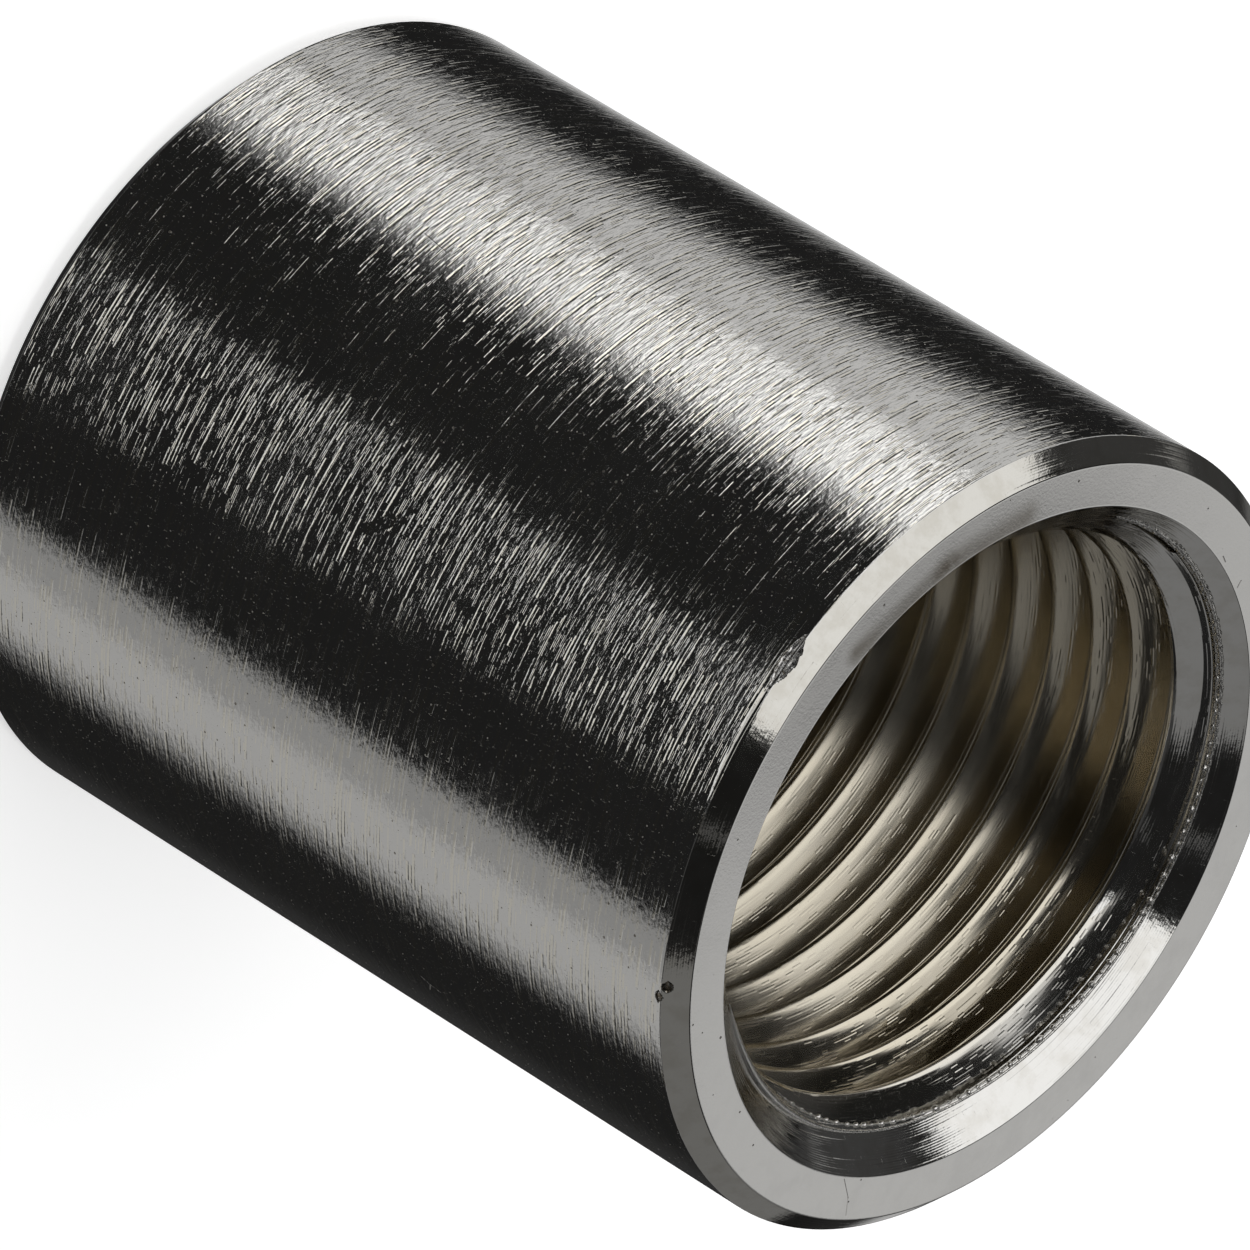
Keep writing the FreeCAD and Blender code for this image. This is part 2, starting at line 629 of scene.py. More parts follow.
def socket_mesh(sizes):
    """The whole socket as one closed mesh: points, quads, triangles, face zones and corner normals.

    The outer grid and the bore's grid share the edges of the mouths. Where the azimuth closes, each bore line
    runs into the one that started a turn above it. Bore lines that have left the bore end in a mouth's edge.
    """
    azimuth = column_azimuths()
    columns = len(azimuth) - 1
    outer, outer_out = outer_grid(azimuth, sizes)
    height, cut, per_turn = bore_grid(azimuth, sizes)
    lines = height.shape[1]
    surface = bore_surface(height, azimuth[:, None], sizes)

    outer_id = np.arange(columns * outer.shape[1]).reshape(columns, -1)
    outer_id = np.concatenate([outer_id, outer_id[:1]])
    bore_id = np.arange(columns * lines).reshape(columns, lines) + columns * outer.shape[1]
    lifted = np.minimum(np.arange(lines) + per_turn, lines - 1)
    bore_id = np.concatenate([bore_id, bore_id[:1, lifted]])
    bore_id = np.where(height <= height.min(), outer_id[:, :1], bore_id)
    bore_id = np.where(height >= height.max(), outer_id[:, -1:], bore_id).ravel()

    cell = np.arange(outer_id.size).reshape(outer_id.shape)
    quads = np.stack([cell[:-1, :-1], cell[1:, :-1], cell[1:, 1:], cell[:-1, 1:]], axis=-1).reshape(-1, 4)
    triangles = bore_triangles(cut)
    corners = bore_id[triangles]
    sound = (corners != np.roll(corners, 1, axis=1)).all(axis=1)
    triangles = triangles[sound]

    middle = height.ravel()[triangles].mean(axis=1)
    middle_azimuth = np.repeat(azimuth, lines)[triangles].mean(axis=1)
    tapped = thread_past_cone(middle, middle_azimuth, sizes) > 0
    thread_out, sink_out, soft_out, worn = (
        grid.reshape(-1, grid.shape[-1])[triangles] for grid in surface[1:])
    bore_out = np.where(tapped[:, None, None], thread_out, sink_out)
    bore_out = unit((1 - worn) * bore_out + worn * soft_out)

    points = np.concatenate([outer[:-1].reshape(-1, 3), surface[0][:-1].reshape(-1, 3)])
    outer_middle = outer.reshape(-1, 3)[quads].mean(axis=1)
    zones = np.concatenate([outer_zones(outer_middle, sizes), np.where(tapped, TAPPED, TURNED)])
    normals = np.concatenate([outer_out.reshape(-1, 3)[quads].reshape(-1, 3), bore_out.reshape(-1, 3)])
    return points, outer_id.ravel()[quads], bore_id[triangles], zones, normals


def mesh_piece(name, points, quads, triangles, zones=None, normals=None):
    """A smooth mesh object from arrays of points and faces, with unused points left out.

    Zones give each face's material, and normals the direction of each corner.
    """
    used, corners = np.unique(np.concatenate([quads.ravel(), triangles.ravel()]), return_inverse=True)
    counts = np.concatenate([np.full(len(quads), 4), np.full(len(triangles), 3)])
    mesh = bpy.data.meshes.new(name)
    mesh.vertices.add(len(used))
    mesh.vertices.foreach_set("co", points[used].ravel())
    mesh.loops.add(len(corners))
    mesh.loops.foreach_set("vertex_index", corners.ravel())
    mesh.polygons.add(len(counts))
    mesh.polygons.foreach_set("loop_start", np.concatenate([[0], np.cumsum(counts)[:-1]]))
    if zones is not None:
        mesh.polygons.foreach_set("material_index", zones)
    mesh.update(calc_edges=True)
    if mesh.validate():
        raise RuntimeError(f"{name} has faces that are not sound")
    mesh.shade_smooth()
    if normals is not None:
        mesh.normals_split_custom_set(normals.tolist())
    piece = bpy.data.objects.new(name, mesh)
    bpy.context.scene.collection.objects.link(piece)
    return piece


# Mesh of a burr: steps along it, and sides of its beads and of its lip
BURR_STEPS = 1500
BEAD_SIDES = 10
LIP_SIDES = 12

# Beads of a burr: the azimuth in degrees where they start, how many times the radius of the largest one they
# stand apart, and the wire between them
BEADS_START = 86
BEADS_APART = 3.6
WIRE = 0.025 * MM

# Lip of a burr: the azimuth in degrees where it starts, its lumps at first, what they gain, and the shares of
# its length from which and over which they do
LIP_START = 58
LUMPS = 0.002 * MM
LATE_LUMPS = 0.016 * MM
LUMPS_FROM = 0.6
LUMPS_OVER = 0.2


def burr_line(sizes, top, part, start):
    """Azimuths, radii and heights along one part of a burr, from a start in degrees to the burr's end."""
    course, burr = burr_course(part)
    azimuth = np.linspace(radians(start + CAMERA_SIDE), course[-1], BURR_STEPS)
    depth = np.interp(azimuth, course, burr)
    radius = cone_radius(depth)
    if top:
        return azimuth, radius, LENGTH - depth
    return end_over_end(azimuth, sizes), radius, depth


def tube(azimuth, radius, height, thick, sides):
    """A round tube along a curve given by azimuths, radii and heights, closed to a point at each end.

    Its thickness at each place is the radius of a circle in the plane through the socket's axis. The circle
    runs the other way round where the azimuths fall, so that the faces look outwards at both ends.
    """
    count = len(azimuth)
    angle = np.linspace(0, 2 * pi, sides, endpoint=False) * np.sign(azimuth[-1] - azimuth[0])
    points = ring_points(radius[:, None] + thick[:, None] * np.cos(angle),
                         height[:, None] + thick[:, None] * np.sin(angle), azimuth[:, None])
    index = np.arange(count * sides).reshape(count, sides)
    index[0] = 0
    index[-1] = (count - 1) * sides
    beside = np.roll(index, -1, axis=1)
    faces = np.stack([index[:-1], index[1:], beside[1:], beside[:-1]], axis=-1)
    first = np.stack([index[0], index[1], beside[1]], axis=-1)
    last = np.stack([index[-2], index[-1], beside[-2]], axis=-1)
    return points.reshape(-1, 3), faces[1:-1].reshape(-1, 4), np.concatenate([first, last])


def run_out(place, first, last):
    """A factor that thins a burr to nothing over a first and a last share of its length, by a square root."""
    return np.sqrt(np.clip(place / first, 0, 1) * np.clip((1 - place) / last, 0, 1))


def burr_beads(sizes, top):
    """Beads of burr along the lower side of the rolled lip, on a thin wire that joins them.

    Each bead is a ball with a size of its own: the tube's thickness follows a half circle over its length.
    Waves in the bead's number and place vary the sizes and the spacing.
    """
    azimuth, radius, height = burr_line(sizes, top, BEADS, BEADS_START)
    place = np.linspace(0, 1, BURR_STEPS)
    run = np.abs(azimuth - azimuth[0]) * CREST_RADIUS / sizes.burr_bead
    bead = run + 0.3 * np.sin(run * 0.9) * np.sin(run * 0.37 + 1)
    number = np.floor(bead)
    size = 0.75 + 0.25 * np.sin(number * 12.9898) * np.sin(number * 4.1414)
    ball = size * sizes.burr_bead / BEADS_APART
    off = (bead - number - 0.5) * sizes.burr_bead
    round_part = np.sqrt(np.clip(ball ** 2 - off ** 2, 0, None))
    thick = np.maximum(round_part, WIRE) * run_out(place, first=0.08, last=0.4)
    return tube(azimuth, radius, height, thick, BEAD_SIDES)


def rolled_lip(sizes, top):
    """The lip that the tap rolled up above the burr: a tube sunk in the countersink so that its back shows.

    It is broad and smooth where the groove begins, and lumpy where the groove runs out. Products of waves
    along its length make the lumps.
    """
    azimuth, radius, height = burr_line(sizes, top, LIP, LIP_START)
    place = np.linspace(0, 1, BURR_STEPS)
    late = np.clip((place - LUMPS_FROM) / LUMPS_OVER, 0, 1)
    course, width = burr_course(LIP_WIDTH)
    lumps = np.sin(place * 331) * np.sin(place * 143 + 1) + 0.7 * np.sin(place * 911 + 2) * np.sin(place * 57)
    even = np.interp(np.linspace(course[0], course[-1], BURR_STEPS), course, width)
    thick = (even + (LUMPS + LATE_LUMPS * late) * lumps) * run_out(place, first=0.02, last=0.05)
    return tube(azimuth, radius, height, thick, LIP_SIDES)


def new_material(name):
    """An empty node material and its tree."""
    material = bpy.data.materials.new(name)
    material.use_nodes = True
    material.node_tree.nodes.clear()
    return material, material.node_tree


Place = namedtuple("Place", "point radius turn height")


def parts(whole):
    """The three parts of a vector."""
    split = Wire.node(whole.tree, "ShaderNodeSeparateXYZ", None, {"Vector": whole}).socket.node
    return (Wire(whole.tree, socket) for socket in split.outputs)


def socket_place(tree):
    """Place on the socket: the point, its radius and its height in mm, and its turns about the axis."""
    metres = Wire.node(tree, "ShaderNodeTexCoord", output="Object")
    point = Wire.node(tree, "ShaderNodeVectorMath", {"operation": "SCALE"}, {0: metres, "Scale": 1 / MM})
    x, y, z = parts(point)
    radius = (x * x + y * y) ** 0.5
    turn = x.math("ARCTAN2", y, x) / (2 * pi) + 0.5
    return Place(point, radius, turn, z)


def depth_below(height):
    """Depth below the nearer mouth in mm, from a height in mm."""
    return LENGTH / MM / 2 - (height - LENGTH / MM / 2).size()


def vector(tree, x, y=0.0, z=0.0):
    """A vector from three values."""
    return Wire.node(tree, "ShaderNodeCombineXYZ", None, {"X": x, "Y": y, "Z": z})


def noise(tree, place, scale, detail=2.0):
    """Soft noise from 0 to 1 of a place in mm, with features as large as 1 over the scale."""
    return Wire.node(tree, "ShaderNodeTexNoise", None, {
        "Vector": place, "Scale": scale, "Detail": detail, "Roughness": 0.6}, "Fac")


def chance(tree, first, second=0.0, seed=0.0):
    """A random value from 0 to 1 for each pair of whole numbers."""
    return Wire.node(tree, "ShaderNodeTexWhiteNoise", {"noise_dimensions": "3D"}, {
        "Vector": vector(tree, first, second, seed)}, "Value")


def scratch_rows(tree, across, turn, width, dashes, spread, seed):
    """Shallow grooves that run round the socket side by side, each cut into dashes of a depth of its own.

    The rows are as wide as given, in mm. A row has from 0.3 to 1.7 times this many dashes to a turn. In a row
    the depth follows a parabola, and spread is the power that makes deep dashes rarer.
    """
    row = (across / width).floor()
    within = (across / width).fract()
    shift = chance(tree, row, 0.0, seed)
    number = ((shift * 7.31).fract() * (dashes * 1.4) + dashes * 0.3).floor() + 1
    dash = ((turn + shift).fract() * number).floor()
    depth = chance(tree, row, dash, seed + 2.5) ** spread
    return within * (1 - within) * 4 * depth


def specks(tree, sheet, spacing, radius, share):
    """Round specks on a flat sheet: 1 inside, 0 outside, one in a share of cells of this spacing in mm."""
    cells = Wire.node(tree, "ShaderNodeTexVoronoi", {"voronoi_dimensions": "2D"}, {
        "Vector": sheet, "Scale": 1 / spacing}, "Distance")
    random = Wire.node(tree, "ShaderNodeSeparateColor", None, {
        "Color": Wire(tree, cells.socket.node.outputs["Color"])}).socket.node
    pick, size = (Wire(tree, random.outputs[name]) for name in ("Red", "Green"))
    reach = (size * size * 0.8 + 0.2) * (radius / spacing)
    return (cells / reach).ramp(1.0, 0.6) * pick.math("LESS_THAN", pick, share)


def scar(tree, sheet, start, end, width):
    """A straight mark on a flat sheet: 1 along its line, falling to 0 at half its width in mm.

    The foot on the line is the start plus the clipped share of the way that the dot product gives.
    """
    along = (end[0] - start[0], end[1] - start[1], 0)
    off = sheet.vector_math("SUBTRACT", (*start, 0))
    share = off.vector_math("DOT_PRODUCT", along, "Value") / (along[0] ** 2 + along[1] ** 2)
    clipped = share.math("MINIMUM", share.above(0.0), 1.0)
    foot = Wire.node(tree, "ShaderNodeVectorMath", {"operation": "SCALE"}, {0: along, "Scale": clipped})
    return off.vector_math("DISTANCE", foot, "Value").ramp(width / 2, 0.0)


def unrolled(azimuth, height):
    """A place on the unrolled outside in mm, from degrees of azimuth off the camera's side and a height."""
    return radians(azimuth - CAMERA_SIDE) * OUTER_RADIUS / MM, height


def plating(tree, colour, roughness, height, metallic=1.0):
    """Closes a material: bright plating with a bump from a height in mm."""
    bump = Wire.node(tree, "ShaderNodeBump", None, {"Height": height, "Distance": MM, "Strength": 1.0})
    shader = Wire.node(tree, "ShaderNodeBsdfPrincipled", None, {
        "Base Color": colour, "Metallic": metallic, "Roughness": roughness, "Normal": bump})
    Wire.node(tree, "ShaderNodeOutputMaterial", None, {"Surface": shader})


# Marks on the outside, from place to place as azimuth in degrees and height in mm, and their width in mm
SMEAR = ((7.8, 12.0), (4.2, 12.85), 0.5)
GOUGE = ((-30.7, 7.96), (-30.0, 8.84), 0.06)
LINT = (((69.3, 15.5), (70.2, 15.75), 0.05), ((70.2, 15.75), (72.0, 15.6), 0.05),
        ((70.2, 15.75), (70.5, 16.1), 0.04))

# Heights and depths of the finish in mm: on the outside, on chamfers and countersinks, on faces, in the
# thread, and of the grain on burrs and in knocks. An ease is how much shallower a mark is elsewhere.
COARSE_SCRATCH, FINE_SCRATCH, STREAK, PEBBLE, GOUGE_DEPTH = 0.0066, 0.003, 0.003, 0.009, 0.006
TURNED_RING, RING_EASE, TURNED_HAIR, TURNED_PEBBLE = 0.0013, 0.0008, 0.002, 0.0025
FACE_GRAIN, FACE_PIT = 0.0003, 0.003
TAPPED_DASH, DASH_EASE, TAPPED_STREAK, STREAK_EASE = 0.0035, 0.001, 0.0018, 0.0007
TORN_GRAIN, LIP_GRAIN, CHIP_GRAIN = 0.024, 0.004, 0.008


def polished_nickel(finish):
    """The outside: bright nickel, faintly pebbled, over fine circular scratches with a painted warm glint
    tint.

    A gouge, a smear that fills the scratches, lint, dark pits and fine dust lie on it.
    """
    material, tree = new_material("polished_nickel")
    on = socket_place(tree)
    sheet = vector(tree, on.turn * (2 * pi * OUTER_RADIUS / MM), on.height)
    coarse = scratch_rows(tree, on.height, on.turn, width=0.11, dashes=100, spread=3.5, seed=1.0)
    fine = scratch_rows(tree, on.height, on.turn, width=0.05, dashes=200, spread=4.0, seed=7.0)
    streaks = noise(tree, vector(tree, on.turn * 80, on.height * 13), scale=1.0, detail=1.0)
    pebble = noise(tree, vector(tree, on.turn * 220, on.height * 6.5), scale=1.0, detail=3.0)
    smear, gouge, *lint = (scar(tree, sheet, unrolled(*start), unrolled(*end), width)
                           for start, end, width in (SMEAR, GOUGE, *LINT))
    scratches = (coarse * COARSE_SCRATCH + fine * FINE_SCRATCH) * smear.ramp(0.6, 0.1)
    height = streaks * STREAK + pebble * PEBBLE - gouge * GOUGE_DEPTH - scratches
    dust = specks(tree, sheet, spacing=0.24, radius=0.024, share=0.4).above(sum(lint) * 0.6)
    pits = specks(tree, sheet, spacing=0.47, radius=0.05, share=0.4)
    cloud = noise(tree, on.point, scale=0.35, detail=4.0)
    nickel = cloud.ramp(0.3, 0.7).blend(tuple(0.97 * c for c in finish.nickel), finish.nickel)
    # Painted glint tint: the deepest scratches turn warm, standing in for a warmer light on their glints
    glint_tinted = coarse.above(fine).ramp(0.2, 0.6).blend(nickel, finish.scratch_glint_tint)
    colour = dust.blend((pits * 0.75).blend(glint_tinted, finish.grime), finish.dust)
    roughness = cloud.ramp(0.35, 0.7, 0.045, 0.12).above(dust * 0.7).above(pits * 0.35)
    plating(tree, colour, roughness, height, 1 - dust)
    return material


def turned_nickel(finish):
    """The chamfers and countersinks: bright nickel over fine rings from the turning tool.

    On the chamfers the nickel is duller and the rings are shallower.
    """
    material, tree = new_material("turned_nickel")
    on = socket_place(tree)
    outer = on.radius.ramp(9.0, 9.9)
    rings = scratch_rows(tree, on.radius, on.turn, width=0.045, dashes=4, spread=0.5, seed=3.0)
    hairs = scratch_rows(tree, on.radius, on.turn, width=0.09, dashes=30, spread=3.0, seed=5.0)
    pebble = noise(tree, on.point, scale=6.0, detail=3.0)
    height = rings * (outer * RING_EASE - TURNED_RING) + hairs * -TURNED_HAIR + pebble * TURNED_PEBBLE
    cloud = noise(tree, on.point, scale=1.6, detail=5.0)
    bright = outer.blend(finish.nickel, finish.edge_nickel)
    cloudy = cloud.ramp(0.3, 0.6).blend((0.9, 0.89, 0.87), (1.0, 1.0, 1.0))
    colour = bright.vector_math("MULTIPLY", cloudy)
    plating(tree, colour, cloud.ramp(0.35, 0.75, 0.05, 0.1), height)
    return material


# Marks on the upper face, from place to place as x and y in mm, and their width in mm
STAINS = (((-7.0, -5.9), (-5.0, -7.6), 1.3), ((-5.0, -7.6), (-2.2, -8.9), 1.1))
FACE_MARKS = (((8.66, 2.21), (9.0, 2.75), 0.04), ((9.0, 2.75), (9.38, 3.04), 0.05),
              ((-8.75, 2.1), (-8.67, 2.3), 0.06), ((-8.5, 3.3), (-8.32, 3.33), 0.06))


def faced_nickel(finish):
    """The end faces: nickel over a fine even grain, with faint smudges, pits and a few marks."""
    material, tree = new_material("faced_nickel")
    on = socket_place(tree)
    flat = on.point.vector_math("MULTIPLY", (1, 1, 0))
    marks, stain = (sum(scar(tree, flat, *mark) for mark in group) for group in (FACE_MARKS, STAINS))
    pits = specks(tree, on.point, spacing=0.6, radius=0.04, share=0.25).above(marks * 0.45)
    height = noise(tree, on.point, scale=14.0, detail=2.0) * FACE_GRAIN - pits * FACE_PIT
    smudge = noise(tree, on.point, scale=0.9, detail=6.0)
    nickel = smudge.ramp(0.3, 0.65).blend(tuple(0.92 * c for c in finish.nickel), finish.nickel)
    stained = (stain * smudge * 1.15).blend(nickel, finish.grime)
    colour = (pits * 0.7).blend(stained, finish.grime)
    plating(tree, colour, smudge.ramp(0.35, 0.7, 0.05, 0.09).above(pits * 0.4), height)
    return material


def tapped_nickel(finish, sizes):
    """The thread: warm nickel over the dashes that the tap tore along its flanks.

    Deeper in, the nickel is duller and browner. Each turn of the groove has dashes of its own.
    """
    material, tree = new_material("tapped_nickel")
    on = socket_place(tree)
    below = depth_below(on.height)
    groove = ((on.height - sizes.thread_start / MM) / (sizes.thread_pitch / MM) - on.turn).floor()
    deep = below.ramp(1.5, 8.0)
    seed = groove * 3.7 + 9.0
    dashes = scratch_rows(tree, on.radius, on.turn, width=0.06, dashes=160, spread=4.0, seed=seed)
    streaks = noise(tree, vector(tree, on.turn * 40, on.radius / 0.08, groove * 7.3), scale=1.0, detail=1.0)
    height = dashes * (deep * DASH_EASE - TAPPED_DASH) + streaks * (TAPPED_STREAK - deep * STREAK_EASE)
    cloud = noise(tree, on.point, scale=0.5, detail=4.0)
    # Darker and browner from 0.9 mm to 2.4 mm below the nearer mouth
    warm = below.ramp(0.9, 2.4).blend(finish.nickel, finish.bore_nickel)
    cloudy = cloud.ramp(0.3, 0.7).blend((0.94, 0.93, 0.91), (1.0, 1.0, 1.0))
    colour = warm.vector_math("MULTIPLY", cloudy)
    plating(tree, colour, cloud.ramp(0.35, 0.75, 0.1, 0.15) + deep * 0.11, height)
    return material


def burr_nickel(finish):
    """The burr and its rolled lip: nickel with a painted sheen, smooth at the cone's foot and torn nearer the
    mouth.
    """
    material, tree = new_material("burr_nickel")
    on = socket_place(tree)
    torn = depth_below(on.height).ramp(0.86, 0.74)
    grain = noise(tree, on.point, scale=9.0, detail=3.0)
    # Painted sheen: the lighter burr colour, full where the burr is smooth, between nickel grains where it is
    # torn
    colour = (grain.ramp(0.3, 0.7) * torn).blend(finish.burr, finish.nickel)
    roughness = grain.ramp(0.3, 0.7, 0.15, 0.3) + (1 - torn) * 0.12
    plating(tree, colour, roughness, grain * (torn * TORN_GRAIN + LIP_GRAIN))
    return material


def chipped_nickel(name, finish, dark):
    """The metal laid bare in the knocks: dull and grainy, with bright grains among a share of dark ones."""
    material, tree = new_material(name)
    grain = noise(tree, socket_place(tree).point, scale=11.0, detail=3.0)
    colour = grain.ramp(dark - 0.12, dark + 0.12).blend(finish.grime, finish.nickel)
    plating(tree, colour, grain.ramp(0.3, 0.7, 0.3, 0.15), grain * CHIP_GRAIN)
    return material


def seat(piece):
    """Fixes a finished piece to the socket's body and hides the imported solid."""
    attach(piece, BODY)
    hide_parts(NODE)


class SOCKET_OT_body(bpy.types.Operator):
    """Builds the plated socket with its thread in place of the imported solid"""

    bl_idname = "socket.body"
    bl_label = "Build socket"

    def execute(self, context):
        finish = context.scene.socket_finish
        sizes = context.scene.socket_sizes
        piece = mesh_piece("plated_socket", *socket_mesh(sizes))
        zones = (polished_nickel(finish), turned_nickel(finish), tapped_nickel(finish, sizes),
                 faced_nickel(finish), chipped_nickel("bitten_nickel", finish, dark=0.4),
                 chipped_nickel("chipped_nickel", finish, dark=0.6))
        for material in zones:
            piece.data.materials.append(material)
        seat(piece)
        return {"FINISHED"}


class SOCKET_OT_burrs(bpy.types.Operator):
    """Builds the fine beaded burr where the tap broke through each countersink"""

    bl_idname = "socket.burrs"
    bl_label = "Build burrs"

    def execute(self, context):
        sizes = context.scene.socket_sizes
        bright = burr_nickel(context.scene.socket_finish)
        for end, top in (("upper", True), ("lower", False)):
            for name, make in (("burr", burr_beads), ("lip", rolled_lip)):
                piece = mesh_piece(f"{end}_{name}", *make(sizes, top))
                piece.data.materials.append(bright)
                seat(piece)
        return {"FINISHED"}


# Light panels of the studio as seen from the socket. In degrees: azimuth from the camera's side towards X,
# elevation, width and height. As slopes: lean of the sides and tilt of the ends. In degrees again: softness
# of the sides and of the ends. Then brightness.
PANELS = {
    "key": (-47.9, 41, 100, 36, -0.4, 0.15, 4, 8, 1.12),
    "key_top": (-62, 61, 52, 14, 0.0, 0.0, 8, 5, 0.8),
    "top_card": (-98, -17, 52, 45, 0.6, 0.0, 18, 8, 0.62),
    "top_glow": (-53.8, -18, 28, 38, -1.3, 0.0, 10, 10, 1.38),
    "glint_strip": (7, -16.5, 38, 25, 0.4, 0.14, 4, 3, 0.82),
    "side_card": (85, -37, 37, 60, 0.3, 0.0, 9, 6, 0.29),
    "side_glow": (91.5, -37, 29, 60, 0.3, 0.0, 16, 6, 0.42),
    "low_card": (115, 22.5, 74, 33, 0.0, -0.61, 3, 4, 0.2),
    "low_dim": (55, 15, 60, 50, 0.0, 0.0, 20, 20, 0.05),
    "thin_strip": (43, 50, 3, 24, 0.0, 0.0, 2, 4, 0.12),
    "face_card": (180, 46.25, 24, 30, 0.0, -2.4, 10, 1.8, 0.54),
    "face_low": (180, 30, 60, 16, 0.0, 0.0, 10, 4, 0.17),
    "rim_card": (-175, -25.5, 12, 35, 0.0, 0.0, 6, 10, 0.65),
    "rim_glow": (-169.5, -25.5, 12, 35, 0.0, 0.0, 24, 10, 0.57),
    "rim_end": (176, -22, 16, 14, 0.0, 0.0, 6, 4, 0.45),
    "haze_card": (-132, 8, 60, 44, 0.0, 0.0, 20, 20, 0.05),
    "dim_card": (165, -35, 40, 50, 0.0, 0.0, 38, 30, 0.03),
    "overhead": (180, 74, 100, 24, 0.0, 0.0, 20, 10, 0.22),
    "floor_bounce": (0, -82, 400, 24, 0.0, 0.0, 10, 8, 0.3),
}


def panel_light(azimuth, elevation, panel, turned):
    """Brightness of one panel in a direction: a soft-edged window in azimuth times one in elevation.

    The azimuth is counted from the direction that lies this many degrees round from the camera's side.
    """
    centre, middle, width, height, lean, tilt, soft_side, soft_end, strength = panel
    aside = azimuth - wrapped(centre - turned)
    rise = elevation - middle
    side = (aside + rise * lean if lean else aside).size()
    end = (rise - aside * tilt if tilt else rise).size()
    across = side.ramp((width + soft_side) / 2, (width - soft_side) / 2)
    up = end.ramp((height + soft_end) / 2, (height - soft_end) / 2, 0.0, strength)
    return across * up


# Half the width of a quarter of the studio in degrees, and the degrees in a radian
HALF_QUARTER = 45
DEGREES = 180 / pi


def near_quarter(panel, middle):
    """Whether a panel reaches into the quarter of the studio round this azimuth."""
    centre, _, width, height, lean, _, soft_side, soft_end, _ = panel
    reach = (width + soft_side) / 2 + abs(lean) * (height + soft_end) / 2
    return abs(wrapped(centre - middle)) < HALF_QUARTER + reach


def mixed(share, first, second):
    """A shader between two others, by a share from 0 to 1."""
    return Wire.node(share.tree, "ShaderNodeMixShader", None, {0: share, 1: first, 2: second})


def studio_world(settings):
    """The dark studio with its light panels, as light from far away. The camera itself sees plain white.

    Each quarter of the studio works out only the panels that reach into it, which saves render time. A
    direction has the light of the brightest of them, and no less than the studio's gloom.
    """
    world = bpy.data.worlds.new("studio")
    world.use_nodes = True
    # Mirror rays find the panels by themselves, so no light is sampled towards them
    world.cycles.sampling_method = "NONE"
    tree = world.node_tree
    tree.nodes.clear()
    x, y, z = parts(Wire.node(tree, "ShaderNodeTexCoord", output="Generated"))
    elevation = z.math("ARCSINE", z) * DEGREES
    halves = []
    for turned, aside, ahead, middles in ((0, x, 0 - y, (45, -45)), (180, 0 - x, y, (135, -135))):
        azimuth = x.math("ARCTAN2", aside, ahead) * DEGREES
        quarters = []
        for middle in middles:
            lights = [panel_light(azimuth, elevation, panel, turned)
                      for panel in PANELS.values() if near_quarter(panel, middle)]
            light = reduce(Wire.above, lights).above(settings.gloom)
            quarters.append(Wire.node(tree, "ShaderNodeBackground", None, {"Color": light, "Strength": 1.0}))
        halves.append(mixed(x.math("LESS_THAN", x, 0.0), *quarters))
    studio = mixed(y.math("GREATER_THAN", y, 0.0), *halves)
    seen = Wire.node(tree, "ShaderNodeLightPath", output="Is Camera Ray")
    plain = Wire.node(tree, "ShaderNodeBackground", None, {"Color": (1, 1, 1, 1), "Strength": 1.0})
    Wire.node(tree, "ShaderNodeOutputWorld", None, {"Surface": mixed(seen, studio, plain)})
    bpy.context.scene.world = world


# The floor's half width in metres and its glow for the camera, and the lamp over it: its width and place in
# metres and its power in watts
FLOOR_HALF = 1.5
FLOOR_GLOW = 0.62
LAMP_WIDTH = 0.6
LAMP_PLACE = (-0.1, 0.05, 0.7)
LAMP_POWER = 1.8

# The photograph's camera: its place in metres, the directions of its right, its top and its back, its lens
# and its sensor's width in mm, and the nearest distance in metres that it shows
CAMERA_PLACE = (0.000105, -0.34793, 0.25844)
CAMERA_RIGHT = (-0.52281, 0.49193, 0.69619)
CAMERA_UP = (-0.85245, -0.30170, -0.42697)
CAMERA_BACK = (0.0, -0.81669, 0.57708)
CAMERA_LENS = 507.15
SENSOR_WIDTH = 36
NEAREST = 0.01


def plain_floor(settings):
    """The floor under the socket: a pale square, lit as any surface and lifted towards white for the camera.

    The plating doesn't mirror it, so that the socket shows the studio's panels all the way round.
    """
    corners = np.array([[-1, -1, 0], [1, -1, 0], [1, 1, 0], [-1, 1, 0]]) * FLOOR_HALF
    floor = mesh_piece("floor", corners, np.array([[0, 1, 2, 3]]), np.zeros((0, 3), int))
    material, tree = new_material("pale_floor")
    seen = Wire.node(tree, "ShaderNodeLightPath", output="Is Camera Ray")
    paint = Wire.node(tree, "ShaderNodeBsdfDiffuse", None, {"Color": (*settings.floor_colour, 1)})
    glow = Wire.node(tree, "ShaderNodeEmission", None, {"Strength": FLOOR_GLOW})
    lifted = Wire.node(tree, "ShaderNodeAddShader", None, {0: paint, 1: glow})
    Wire.node(tree, "ShaderNodeOutputMaterial", None, {"Surface": mixed(seen, paint, lifted)})
    floor.data.materials.append(material)
    floor.visible_glossy = False
    floor.visible_shadow = False


def floor_lamp():
    """A wide soft lamp overhead for the floor's shadow. The plating doesn't mirror it."""
    lamp = bpy.data.lights.new("floor_lamp", "AREA")
    lamp.shape = "DISK"
    lamp.size = LAMP_WIDTH
    lamp.energy = LAMP_POWER
    holder = bpy.data.objects.new("floor_lamp", lamp)
    holder.location = LAMP_PLACE
    holder.visible_glossy = False
    bpy.context.scene.collection.objects.link(holder)


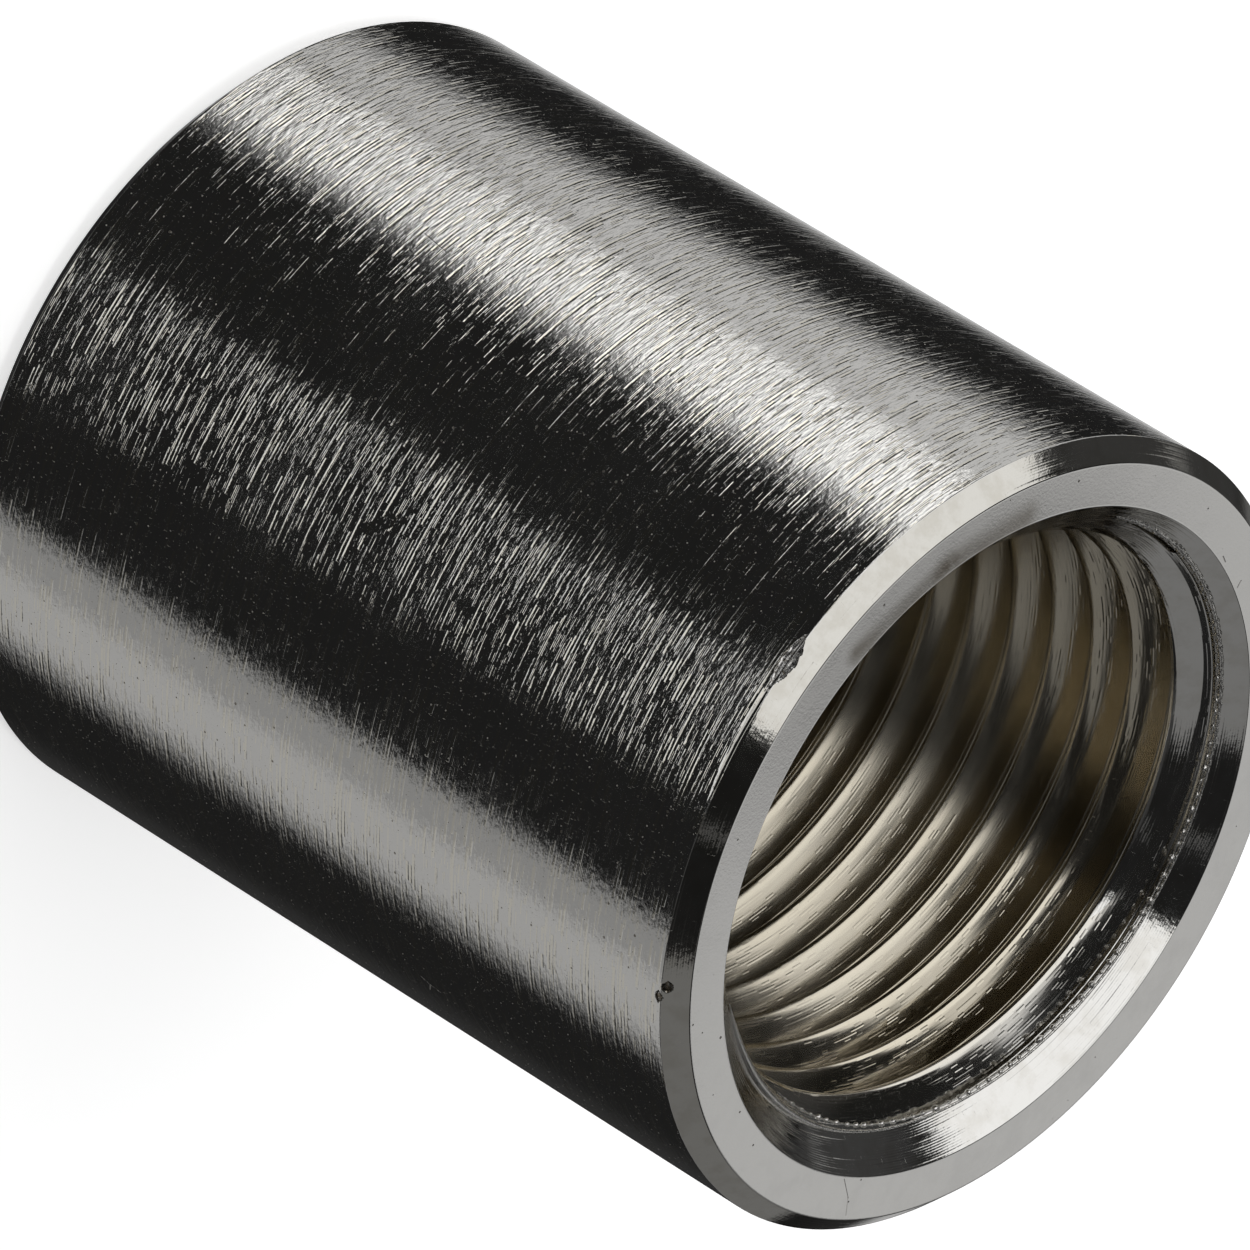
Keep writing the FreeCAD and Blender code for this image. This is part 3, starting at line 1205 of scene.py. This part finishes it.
class SOCKET_OT_stage(bpy.types.Operator):
    """Sets the plain floor, the soft studio light and the camera of the photograph"""

    bl_idname = "socket.stage"
    bl_label = "Set stage"

    def execute(self, context):
        scene = context.scene
        scene.view_settings.view_transform = "Standard"
        plain_floor(scene.socket_studio)
        floor_lamp()
        studio_world(scene.socket_studio)
        lens = bpy.data.cameras.new("photo_camera")
        lens.lens = CAMERA_LENS
        lens.sensor_width = SENSOR_WIDTH
        lens.clip_start = NEAREST
        camera = bpy.data.objects.new("photo_camera", lens)
        axes = Matrix((CAMERA_RIGHT, CAMERA_UP, CAMERA_BACK)).transposed().to_4x4()
        camera.matrix_world = Matrix.Translation(CAMERA_PLACE) @ axes
        scene.collection.objects.link(camera)
        scene.camera = camera
        return {"FINISHED"}


class SOCKET_PT_panel(bpy.types.Panel):
    """Lists the socket's settings and operators in the sidebar"""

    bl_idname = "SOCKET_PT_panel"
    bl_label = "Pipe socket"
    bl_space_type = "VIEW_3D"
    bl_region_type = "UI"
    bl_category = "Pipe socket"

    def draw(self, context):
        for name in ("socket_sizes", "socket_finish", "socket_studio"):
            group = getattr(context.scene, name)
            for prop in group.__annotations__:
                self.layout.prop(group, prop)
        for operator in (SOCKET_OT_body, SOCKET_OT_burrs, SOCKET_OT_stage):
            self.layout.operator(operator.bl_idname)


CLASSES = (SocketSizes, SocketFinish, StudioSettings, SOCKET_OT_body, SOCKET_OT_burrs, SOCKET_OT_stage,
           SOCKET_PT_panel)


def register():
    """Registers the classes and hangs the settings on the scene."""
    for cls in CLASSES:
        bpy.utils.register_class(cls)
    bpy.types.Scene.socket_sizes = bpy.props.PointerProperty(type=SocketSizes)
    bpy.types.Scene.socket_finish = bpy.props.PointerProperty(type=SocketFinish)
    bpy.types.Scene.socket_studio = bpy.props.PointerProperty(type=StudioSettings)


def unregister():
    """Takes the settings and the classes away again."""
    del bpy.types.Scene.socket_studio
    del bpy.types.Scene.socket_finish
    del bpy.types.Scene.socket_sizes
    for cls in reversed(CLASSES):
        bpy.utils.unregister_class(cls)


def main():
    """Registers the add-on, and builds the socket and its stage."""
    register()
    bpy.ops.socket.body()
    bpy.ops.socket.burrs()
    bpy.ops.socket.stage()


if __name__ == "__main__":
    main()
